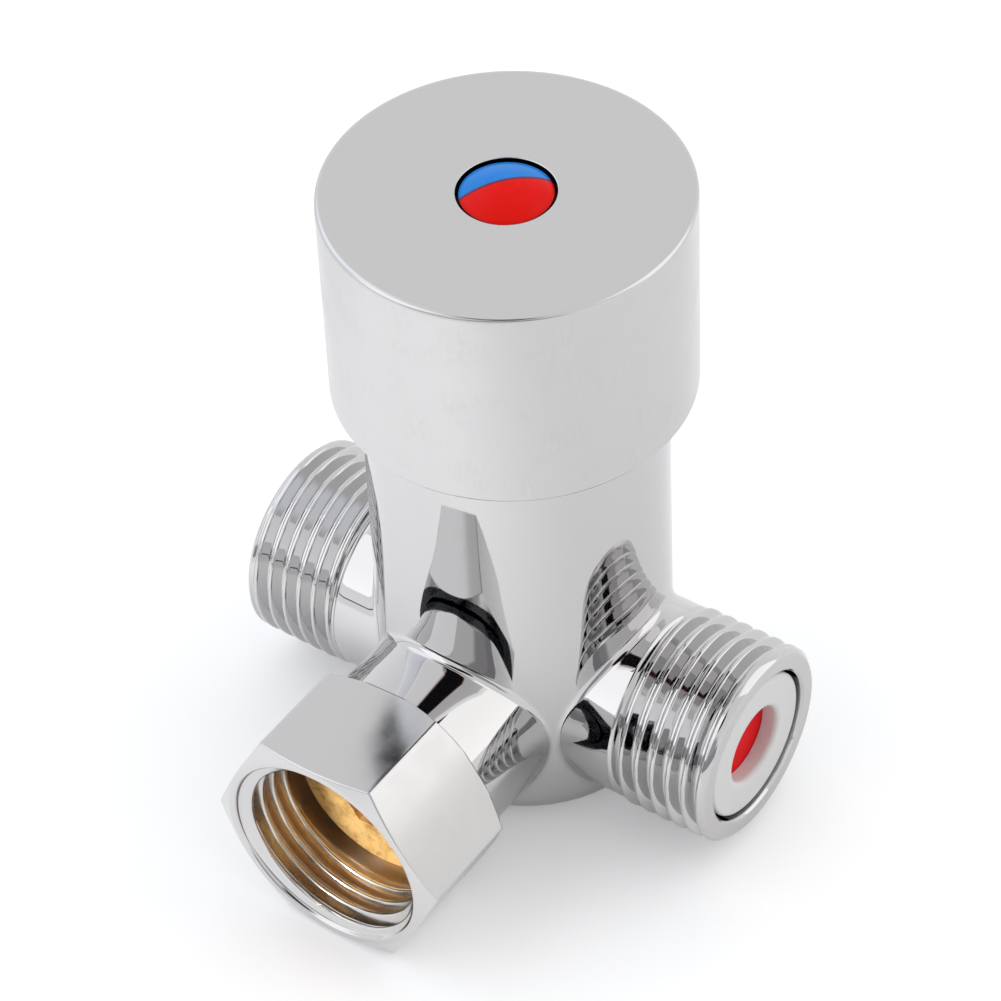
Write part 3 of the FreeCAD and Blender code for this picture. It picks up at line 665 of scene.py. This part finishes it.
# faint moulding rings, and painted shade: the groove below the dome is painted black
split = addNode(tree, splitKind, {"Vector": centred.outputs[0]})
across = addNode(tree, joinKind, {"X": split.outputs["X"], "Y": split.outputs["Y"]})
reach = addNode(tree, vectorKind, {0: across.outputs[0]}, operation="LENGTH").outputs["Value"]
track = addNode(tree, joinKind, {"X": reach})
rings = addNode(tree, noiseKind, {
    "Vector": track.outputs[0], "Scale": 1 / (capFinish["ring"] * mm), "Detail": 2.0})
fade = addNode(tree, rangeKind, {
    "Value": rings.outputs["Fac"], **span("From", mostNoise), **span("To", capFinish["ringShade"])})
outsideShade = addNode(tree, mathKind, {
    0: split.outputs["Z"], 1: (cap["edgeZ"] - capFinish["paintedShadeBelow"]) * mm}, operation="GREATER_THAN")
shown = addNode(tree, mathKind, {
    0: fade.outputs["Result"], 1: outsideShade.outputs[0]}, operation="MULTIPLY")
tint = addNode(tree, vectorKind, {
    0: colours.outputs["Color"], "Scale": shown.outputs[0]}, operation="SCALE")
setInputs(tree, shader, {"Base Color": tint.outputs[0]})

domeR = (cap["edge"]**2 + cap["dome"]**2) / (2 * cap["dome"])
arc = np.linspace(0, math.asin(cap["edge"] / domeR), cap["domeRows"])
domeTop = cap["edgeZ"] + cap["dome"]
dome = [(domeR * math.sin(a), domeTop - domeR * (1 - math.cos(a)), 0) for a in arc]
capRows = turnedRows(dome + [
    (cap["edge"], cap["edgeZ"] - cap["groove"], 0), (cap["skirt"], cap["edgeZ"] - cap["groove"], 0),
    (cap["skirt"], cap["floor"], 0), (cap["inner"], cap["floor"], 0),
    (cap["inner"], cap["under"], 0), (0, cap["under"], 0)], cap["columns"])
capPiece = pieceOf("capPiece", [skinOf(capRows)], capPlastic)
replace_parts(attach(capPiece, "knob"), "indicator_cap")


# Check valves: white insert, coloured poppet and its spring in each inlet

check = dict(radius=7.75, face=27.4, hole=4.1, holeRound=0.55, faceRound=0.4, seat=25.6, bore=6.4,
             back=20.15, guideBack=17.15, groove=0.9, ring=1.6, columns=128, poppet=5.3,
             poppetFront=25.55, poppetBack=24.05, stem=1.2, poppetRound=0.2, poppetColumns=96,
             wire=0.3, coil=2.6, turns=2.5, play=0.05, travel=1.8)
ringMid = (check["seat"] + check["back"]) / 2
ringFront, ringBack = ringMid + check["ring"] / 2, ringMid - check["ring"] / 2
grooveR = check["radius"] - check["groove"]
insert = skinOf(turnedRows([
    (check["hole"], check["seat"], 0), (check["hole"], check["face"], check["holeRound"]),
    (check["radius"], check["face"], check["faceRound"]), (check["radius"], ringFront, 0),
    (grooveR, ringFront, 0), (grooveR, ringBack, 0), (check["radius"], ringBack, 0),
    (check["radius"], check["back"], 0), (check["bore"], check["back"], 0),
    (check["bore"], check["seat"], 0), (check["hole"], check["seat"], 0)], check["columns"]))
poppet = skinOf(turnedRows([
    (0, check["guideBack"], 0), (check["stem"], check["guideBack"], check["poppetRound"]),
    (check["stem"], check["poppetBack"], 0),
    (check["poppet"], check["poppetBack"], check["poppetRound"]),
    (check["poppet"], check["poppetFront"], check["poppetRound"]),
    (0, check["poppetFront"], 0)], check["poppetColumns"]))
coilLow = check["back"] + check["wire"]
coilHeight = check["poppetBack"] - check["play"] - check["wire"] - coilLow
points, faces = growSkin(springRule, {
    "turns": check["turns"], "radius": check["coil"], "height": coilHeight, "wire": check["wire"]})
spring = (points + np.array([0, 0, coilLow]), faces)
for label, degrees, colour in (("hot", 0, "red"), ("cold", cold, "blue")):
    for kind, job, skin, material, rides, slot in (
            ("Insert", "housing", insert, whiteAcetal, "body", "white_acetal"),
            ("Poppet", "poppet", poppet, plain[colour + "Acetal"], label + "_poppet",
             colour + "_acetal"),
            ("Spring", "spring", spring, stainless, "body", "stainless")):
        piece = pieceOf(label + kind, [alongNeck(skin, degrees)], material)
        node = label + "_check_" + job
        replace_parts(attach(piece, rides), node)
        if kind == "Spring":
            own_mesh(piece)


# Tailpiece: a merged copy of the CAD sleeve with its key socket

tail = dict(weld=1e-6, sharpDeg=12)
tailData = nodes["outlet_tailpiece"].data.copy()
tailData.name = "tailPiece"
shape = bmesh.new()
shape.from_mesh(tailData)
bmesh.ops.remove_doubles(shape, verts=shape.verts[:], dist=tail["weld"])
shape.to_mesh(tailData)
shape.free()
tailPiece = objectOf(tailData, rawBrass, tail["sharpDeg"])
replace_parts(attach(tailPiece, "body"), "outlet_tailpiece")


# Hidden pieces keep their CAD meshes and take their real materials

hidden = {
    "spindle": rawBrass, "bonnet": rawBrass, "knob_screw": stainless,
    "cartridge_base": plain["greyAcetal"], "cartridge_housing": plain["greyAcetal"],
    "disc_carrier": plain["greyAcetal"], "fixed_disc": plain["alumina"],
    "moving_disc": plain["alumina"], "port_gasket": plain["blackRubber"],
    "shoulder_seal": plain["blackRubber"], "spindle_seal": plain["blackRubber"],
    "hot_check_seal": plain["blackRubber"], "cold_check_seal": plain["blackRubber"],
    "hot_check_guide": whiteAcetal, "cold_check_guide": whiteAcetal,
}
for name, material in hidden.items():
    nodes[name].data.materials.clear()
    nodes[name].data.materials.append(material)
print("pieces made")


# Floor: plain matt white that looks a little brighter than it is lit, to the eye and in mirrors

ground = dict(z=-11.83, half=6.0, colour=(0.9, 0.9, 0.9, 1.0), glow=(0.97, 0.98, 1, 1), seen=0.22,
              pool=(-0.035, -0.04), poolEdge=(0.03, 0.11), poolLight=(0.38, 0.11),
              footEdge=(0.012, 0.04), footLight=(0.3, 1.0))
floorZ = ground["z"] * mm
floorMaterial, tree, shader = newMaterial("paleFloor", {
    "Base Color": ground["colour"], "Roughness": 1.0, "Specular IOR Level": 0.0,
    "Emission Color": ground["glow"]})
path = addNode(tree, pathKind)
seen = addNode(tree, mathKind, {
    0: path.outputs["Is Camera Ray"], 1: ground["seen"]}, operation="MULTIPLY")
mirrored = addNode(tree, mathKind, {
    0: path.outputs["Is Glossy Ray"], 1: path.outputs["Is Transmission Ray"]}, operation="MAXIMUM")
coords = addNode(tree, coordKind).outputs["Object"]
# in mirrors there is a pool of light beside the part, and shade at its foot
fromPool = addNode(tree, vectorKind, {
    0: coords, 1: (*ground["pool"], floorZ)}, operation="DISTANCE")
pool = addNode(tree, rangeKind, {
    "Value": fromPool.outputs["Value"], **span("From", ground["poolEdge"]),
    **span("To", ground["poolLight"])}, **smooth)
fromFoot = addNode(tree, vectorKind, {0: coords, 1: (0, axisY * mm, floorZ)}, operation="DISTANCE")
foot = addNode(tree, rangeKind, {
    "Value": fromFoot.outputs["Value"], **span("From", ground["footEdge"]),
    **span("To", ground["footLight"])}, **smooth)
lit = addNode(tree, mathKind, {
    0: pool.outputs["Result"], 1: foot.outputs["Result"]}, operation="MULTIPLY")
shown = addNode(tree, mathKind, {0: mirrored.outputs[0], 1: lit.outputs[0]}, operation="MULTIPLY")
lift = addNode(tree, mathKind, {0: seen.outputs[0], 1: shown.outputs[0]}, operation="MAXIMUM")
setInputs(tree, shader, {"Emission Strength": lift.outputs[0]})
half = ground["half"]
floorData = bpy.data.meshes.new("floor")
floorData.from_pydata([(-half, -half, floorZ), (half, -half, floorZ), (half, half, floorZ),
                       (-half, half, floorZ)], [], [(0, 1, 2, 3)])
floorData.materials.append(floorMaterial)
floor = bpy.data.objects.new("floor", floorData)
scene.collection.objects.link(floor)


# Camera, as fitted to the photograph

view = dict(right=(0.82099, 0.56985, -0.03536), up=(-0.37944, 0.59084, 0.71200),
            back=(0.42662, -0.57112, 0.70130), location=(0.1774, -0.2074, 0.3135), lens=154.0,
            sensor=36, clipStart=0.01)
camera = bpy.data.objects.new("camera", bpy.data.cameras.new("camera"))
camera.data.sensor_width = view["sensor"]
camera.data.lens = view["lens"]
camera.data.clip_start = view["clipStart"]
axes = [(*view[axis], 0) for axis in ("right", "up", "back")]
camera.matrix_world = Matrix((*axes, (*view["location"], 1))).transposed()
scene.collection.objects.link(camera)
scene.camera = camera


# World: a white tent with a dark gap above the camera, which the round necks pick up

def direction(azimuth, elevation):
    a, e = math.radians(azimuth), math.radians(elevation)
    return Vector((math.sin(a) * math.cos(e), -math.cos(a) * math.cos(e), math.sin(e)))


tent = dict(
    gaps=((22, 62, 1.0), (36, 53, 1.0), (-2, 66, 0.988)),  # azimuth, elevation, weight
    gapEdge=(0.974, 0.981), coreEdge=(0.977, 0.986), gapRim=(0.22, 0.06, 0.035, 1),
    gapCore=(0.01, 0.01, 0.012, 1), coolWay=(-0.82, -0.57, 0.0), warmCloth=(0.97, 0.965, 0.95, 1),
    coolCloth=(1.0, 1.02, 1.06, 1), panel=(1.4, 1.46, 1.56, 1), glowZ=(0.1, 0.6), glow=(1.08, 0.95),
    jointZ=0.008, jointHalf=0.01, joint=(0.1, 0.1, 0.11, 1), room=(0.45, 0.445, 0.465, 1),
    lowZ=(0.27, 0.2), lowRoom=(0.36, 0.355, 0.375, 1), backdrop=(1, 1, 1, 1))
patches = {  # azimuth and elevation of the middle, and the cosines between which the edge is soft
    "room": ((33, 12), (0.905, 0.95)),
    "front": ((20, 0), (0.69, 0.73)),
    "panel": ((-92, 42), (0.9, 0.97)),
}
world = bpy.data.worlds.new("tent")
scene.world = world
world.use_nodes = True
tree = world.node_tree
sky = tree.nodes["Background"]
look = addNode(tree, coordKind).outputs["Generated"]
facing = -1.0
for azimuth, elevation, weight in tent["gaps"]:
    toward = addNode(tree, vectorKind, {
        0: look, 1: tuple(direction(azimuth, elevation) * weight)}, operation="DOT_PRODUCT")
    facing = addNode(tree, mathKind, {
        0: facing, 1: toward.outputs["Value"]}, operation="MAXIMUM").outputs[0]
gap = addNode(tree, rangeKind, {"Value": facing, **span("From", tent["gapEdge"])}, **smooth)
core = addNode(tree, rangeKind, {"Value": facing, **span("From", tent["coreEdge"])}, **smooth)
shade = addNode(tree, mixKind, {
    mixBy: core.outputs["Result"], firstColour: tent["gapRim"],
    secondColour: tent["gapCore"]}, **colourMix)
soft = {}
for name, (way, edge) in patches.items():
    toward = addNode(tree, vectorKind, {0: look, 1: tuple(direction(*way))}, operation="DOT_PRODUCT")
    soft[name] = addNode(tree, rangeKind, {
        "Value": toward.outputs["Value"], **span("From", edge)}, **smooth).outputs["Result"]
# the dim room past the open front is darker low down, and a thin dark line joins cloth and table
height = addNode(tree, splitKind, {"Vector": look}).outputs["Z"]
low = addNode(tree, rangeKind, {"Value": height, **span("From", tent["lowZ"])}, **smooth)
lowRoom = addNode(tree, mathKind, {
    0: low.outputs["Result"], 1: soft["front"]}, operation="MULTIPLY")
horizon = addNode(tree, mathKind, {
    0: height, 1: tent["jointZ"], 2: tent["jointHalf"]}, operation="COMPARE")
leftward = addNode(tree, vectorKind, {0: look, 1: tent["coolWay"]}, operation="DOT_PRODUCT")
leftHalf = addNode(tree, mathKind, {0: leftward.outputs["Value"], 1: 0.0}, operation="GREATER_THAN")
joint = addNode(tree, mathKind, {
    0: horizon.outputs[0], 1: leftHalf.outputs[0]}, operation="MULTIPLY")
# cloth is cooler to the left, with a bright panel there, and brightest low down
coolShare = addNode(tree, rangeKind, {
    "Value": leftward.outputs["Value"], **span("From", (-1.0, 1.0))})
cloth = addNode(tree, mixKind, {
    mixBy: coolShare.outputs["Result"], firstColour: tent["warmCloth"],
    secondColour: tent["coolCloth"]}, **colourMix)
withPanel = addNode(tree, mixKind, {
    mixBy: soft["panel"], firstColour: cloth.outputs[mixedColour],
    secondColour: tent["panel"]}, **colourMix)
glow = addNode(tree, rangeKind, {
    "Value": height, **span("From", tent["glowZ"]), **span("To", tent["glow"])})
lit = addNode(tree, vectorKind, {
    0: withPanel.outputs[mixedColour], "Scale": glow.outputs["Result"]}, operation="SCALE")
path = addNode(tree, pathKind)
colour = lit.outputs[0]
for share, over in (
        (joint.outputs[0], tent["joint"]), (soft["room"], tent["room"]),
        (lowRoom.outputs[0], tent["lowRoom"]), (gap.outputs["Result"], shade.outputs[mixedColour]),
        (path.outputs["Is Camera Ray"], tent["backdrop"])):  # behind the part the eye sees plain white
    colour = addNode(tree, mixKind, {
        mixBy: share, firstColour: colour, secondColour: over}, **colourMix).outputs[mixedColour]
setInputs(tree, sky, {"Color": colour})


# Lamps: two soft boxes, and a narrow beam that reaches the seat inside the nut

def standLamp(name, lamp, aim, way, distance):
    holder = bpy.data.objects.new(name, lamp)
    turned = (-way).to_track_quat("-Z", "Y").to_matrix().to_4x4()
    holder.matrix_world = Matrix.Translation(aim + way * distance) @ turned
    scene.collection.objects.link(holder)


boxAim, boxDistance = Vector((0, axisY * mm, 0.02)), 0.75
boxes = {  # azimuth, elevation, width, height, power
    "window": (-35, 38, 0.5, 0.75, 0.65),
    "fill": (132, 34, 0.6, 0.8, 0.8),
}
for name, (azimuth, elevation, width, height, power) in boxes.items():
    lamp = bpy.data.lights.new(name, "AREA")
    lamp.shape = "RECTANGLE"
    lamp.size, lamp.size_y = width, height
    lamp.energy = power
    standLamp(name, lamp, boxAim, direction(azimuth, elevation), boxDistance)
beam = dict(azimuth=-15, elevation=22, distance=0.6, power=18.0, spreadDeg=1.75, blend=0.6,
            radius=0.0005)
snoot = bpy.data.lights.new("snoot", "SPOT")
snoot.energy = beam["power"]
snoot.spot_size = math.radians(beam["spreadDeg"])
snoot.spot_blend = beam["blend"]
snoot.shadow_soft_size = beam["radius"]
nutMouth = Vector((0, (axisY - nut["front"]) * mm, 0))
standLamp("snoot", snoot, nutMouth, direction(beam["azimuth"], beam["elevation"]), beam["distance"])
scene.view_settings.view_transform = "Standard"
print("stage made")
